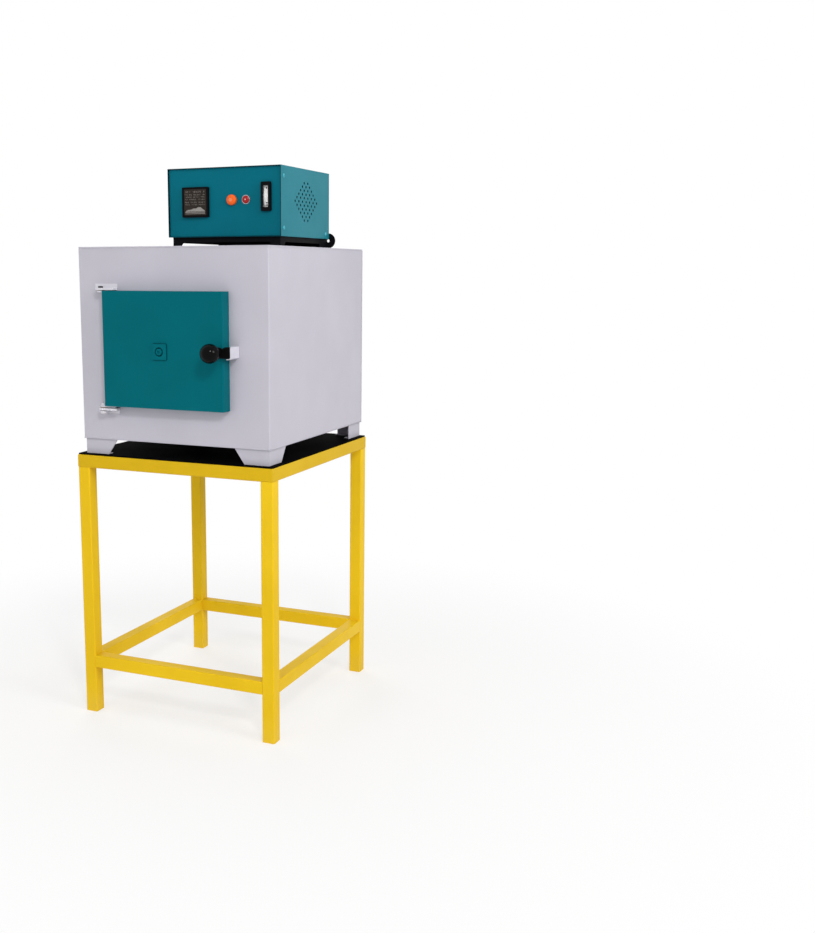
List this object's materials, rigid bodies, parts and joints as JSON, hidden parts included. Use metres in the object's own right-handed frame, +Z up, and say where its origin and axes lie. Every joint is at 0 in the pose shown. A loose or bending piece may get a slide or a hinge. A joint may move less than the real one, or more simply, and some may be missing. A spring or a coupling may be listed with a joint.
{
  "type": "jewellery kiln",
  "caption": "Front-door chamber kiln with refractory lining and rod heaters on a square-tube stand, with a separate control box on top; latched swing door.",
  "frame": {"origin": "on the floor, centre of the stand's footprint", "axes": "+X to the right seen from the front, +Y to the rear (the door faces -Y), +Z up"},
  "size_m": [0.548, 0.723, 1.383],
  "materials": {
    "yellow": "semi-gloss yellow paint",
    "black_sheet": "black painted steel sheet",
    "lilac": "smooth pale grey-lilac enamel",
    "teal": "semi-gloss dark teal enamel",
    "hinge_metal": "pale painted or zinc-plated steel",
    "dark_steel": "oiled dark steel",
    "steel": "bright steel",
    "brass": "plain brass",
    "brick": "light insulating refractory, fine pores",
    "fibre": "soft white ceramic fibre board",
    "hearth": "dense refractory plate",
    "porcelain": "white insulating ceramic",
    "element": "oxidised resistance-alloy rod",
    "black_gloss": "glossy black phenolic",
    "black_steel": "blackened steel",
    "black_plastic": "black moulded plastic",
    "orange": "translucent orange plastic",
    "red": "dark red plastic",
    "chrome": "polished plating",
    "scale": "white printed scale",
    "pointer_red": "red lacquered pointer",
    "window": "clear window",
    "grey_plastic": "pale electrical plastic"
  },
  "bodies": {
    "kiln": {"stand_legs": "yellow", "top_rail_front": "yellow", "top_rail_rear": "yellow", "top_rail_left": "yellow", "top_rail_right": "yellow", "low_rail_front": "yellow", "low_rail_rear": "yellow", "low_rail_left": "yellow", "low_rail_right": "yellow", "stand_sheet": "black_sheet", "casing_body": "lilac", "casing_top": "lilac", "casing_floor": "lilac", "casing_feet": "lilac", "casing_rear": "lilac", "terminal_cover": "lilac", "ceramic_terminals": "porcelain", "backing_boards": "fibre", "brick_floor": "brick", "brick_roof": "brick", "brick_left": "brick", "brick_right": "brick", "brick_rear": "brick", "mouth_collar": "brick", "hearth_plate": "hearth", "heating_rods": "element", "thermocouple": "porcelain", "hinge_lug_top": "hinge_metal", "hinge_lug_bottom": "hinge_metal", "hinge_pins": "dark_steel", "hinge_washers": "brass", "catch_bracket": "hinge_metal", "box_base": "black_sheet", "base_ears": "black_sheet", "box_chassis": "teal", "box_front": "teal", "box_side_left": "teal", "box_side_right": "teal", "box_screws": "steel", "controller_case": "black_plastic", "stop_bezel": "chrome", "button_switches": "black_plastic", "meter_case": "black_plastic", "meter_scale": "scale", "meter_window": "window", "box_internals": "grey_plastic", "rear_glands": "black_plastic"},
    "door": {"door_pan": "teal", "door_fibre": "fibre", "door_plug": "brick", "door_centre_plate": "teal", "door_centre_bolt": "teal", "hinge_tabs": "hinge_metal", "latch_bush": "black_steel"},
    "latch": {"latch_spindle": "steel", "latch_knob": "black_gloss", "latch_tongue": "black_steel"},
    "start": {"start_button": "orange"},
    "stop": {"stop_button": "red"},
    "pointer": {"meter_pointer": "pointer_red"}
  },
  "joints": [
    {"name": "door_hinge", "type": "hinge", "parent": "kiln", "child": "door", "pos_m": [-0.186, -0.3005, 0.949], "axis": [0, 0, -1], "range_deg": [0, 165]},
    {"name": "latch_turn", "type": "hinge", "parent": "door", "child": "latch", "pos_m": [0.147, -0.316, 0.949], "axis": [0, -1, 0], "range_deg": [0, 90]},
    {"name": "start_press", "type": "slide", "parent": "kiln", "child": "start", "axis": [0, 1, 0], "range_m": [0, 0.004], "stiffness_N_per_m": 800, "springref_m": -0.002},
    {"name": "stop_press", "type": "slide", "parent": "kiln", "child": "stop", "axis": [0, 1, 0], "range_m": [0, 0.003], "stiffness_N_per_m": 800, "springref_m": -0.002},
    {"name": "meter_swing", "type": "hinge", "parent": "kiln", "child": "pointer", "pos_m": [0.1934, -0.0824, 1.311], "axis": [-1, 0, 0], "range_deg": [0, 32], "stiffness_Nm_per_rad": 0.0004, "springref_deg": -17.19}
  ]
}
